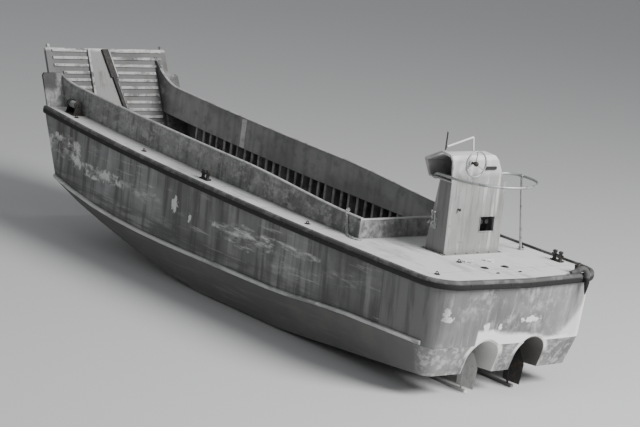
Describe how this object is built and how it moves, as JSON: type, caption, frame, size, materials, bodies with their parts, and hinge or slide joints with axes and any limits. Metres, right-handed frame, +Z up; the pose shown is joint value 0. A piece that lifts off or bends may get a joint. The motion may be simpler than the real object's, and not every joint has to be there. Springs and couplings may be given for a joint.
{
  "type": "open ramped landing craft",
  "caption": "Open flat-bottomed landing craft with a hinged bow ramp, steered from a console on its aft deck.",
  "frame": {"origin": "on the centre line at the level of the keel's underside, midway between the fender at the stern and the raised ramp's tip", "axes": "+X to the bow, +Y to port, +Z up"},
  "size_m": [11.3698, 3.3, 3.5295],
  "materials": {
    "side_paint": "matt grey paint, scraped and streaked",
    "transom_paint": "matt light grey paint with flaking white patches",
    "bottom_paint": "dull dark bottom paint with dried mud stains",
    "deck_paint": "pale worn deck paint, dirty in the corners",
    "well_paint": "dark grey paint, weathered",
    "wing_paint": "dark grey paint, weathered",
    "floor_boards": "wet dark boards",
    "ramp_paint": "grey paint worn along the cleats",
    "console_paint": "light grey paint with vertical run stains",
    "fender": "dark scuffed fender",
    "strake": "scuffed light grey rubbing strake",
    "dark_iron": "dark painted and rusted iron",
    "galvanised": "dull galvanised steel",
    "bronze": "tarnished bronze"
  },
  "bodies": {
    "hull": {"side_plating_port": "side_paint", "side_plating_starboard": "side_paint", "transom_plating": "transom_paint", "bow_frame": "side_paint", "bottom_plating": "bottom_paint", "skeg_port": "bottom_paint", "skeg_starboard": "bottom_paint", "knuckle_strake_port": "strake", "knuckle_strake_starboard": "strake", "guard_port": "fender", "guard_starboard": "fender", "guard_stern": "fender", "side_deck_port": "deck_paint", "side_deck_starboard": "deck_paint", "aft_deck": "deck_paint", "coaming_port": "well_paint", "coaming_starboard": "well_paint", "coaming_aft": "well_paint", "bulwark_wing_port": "wing_paint", "bulwark_wing_starboard": "wing_paint", "well_floor": "floor_boards", "floor_bearers": "floor_boards", "side_frames_port": "well_paint", "side_frames_starboard": "well_paint", "well_bulkhead": "well_paint", "ramp_hinge_brackets": "dark_iron", "ramp_hinge_pin": "galvanised", "ramp_winch": "dark_iron", "console_body": "console_paint", "console_head": "console_paint", "engine_levers": "dark_iron", "guard_rail": "galvanised", "engine_bearers": "bottom_paint", "engine_block_port": "dark_iron", "engine_block_starboard": "dark_iron", "bollard_mid_port": "dark_iron", "bollard_mid_starboard": "dark_iron", "bollard_aft_starboard": "dark_iron", "quarter_pipe": "dark_iron"},
    "ramp": {"ramp_panel": "ramp_paint", "ramp_guide_bar_port": "dark_iron", "ramp_guide_bar_starboard": "dark_iron"},
    "screw_port": {"propeller_port": "bronze", "propeller_shaft_port": "bronze"},
    "screw_starboard": {"propeller_starboard": "bronze", "propeller_shaft_starboard": "bronze"},
    "rudder_port": {"rudder_port": "dark_iron"},
    "rudder_starboard": {"rudder_starboard": "dark_iron"},
    "helm": {"steering_wheel": "galvanised"},
    "hatch": {"hatch_lid": "deck_paint"}
  },
  "joints": [
    {"name": "ramp_hinge", "type": "hinge", "parent": "hull", "child": "ramp", "pos_m": [4.60455, 0, 0.9773], "axis": [0, 1, 0], "range_deg": [0, 86]},
    {"name": "propeller_port_spin", "type": "hinge", "parent": "hull", "child": "screw_port", "pos_m": [-4.64, 0.46, 0.4], "axis": [0.9903, 0, 0.1392], "continuous": true},
    {"name": "propeller_starboard_spin", "type": "hinge", "parent": "hull", "child": "screw_starboard", "pos_m": [-4.64, -0.46, 0.4], "axis": [0.9903, 0, 0.1392], "continuous": true},
    {"name": "rudder_port_turn", "type": "hinge", "parent": "hull", "child": "rudder_port", "pos_m": [-5.04, 0.46, 0.4], "axis": [0, 0, 1], "range_deg": [-35, 35]},
    {"name": "rudder_starboard_turn", "type": "hinge", "parent": "hull", "child": "rudder_starboard", "pos_m": [-5.04, -0.46, 0.4], "axis": [0, 0, 1], "range_deg": [-35, 35]},
    {"name": "helm_turn", "type": "hinge", "parent": "hull", "child": "helm", "pos_m": [-4.22, 0, 3.13046], "axis": [1, 0, 0], "range_deg": [-540, 540]},
    {"name": "hatch_hinge", "type": "hinge", "parent": "hull", "child": "hatch", "pos_m": [-4.56, 0, 1.77852], "axis": [0, 1, 0], "range_deg": [0, 90]}
  ],
  "couplings": [
    {"joint": "rudder_starboard_turn", "follows": "rudder_port_turn", "ratio": 1},
    {"joint": "helm_turn", "follows": "rudder_port_turn", "ratio": 15.429}
  ]
}
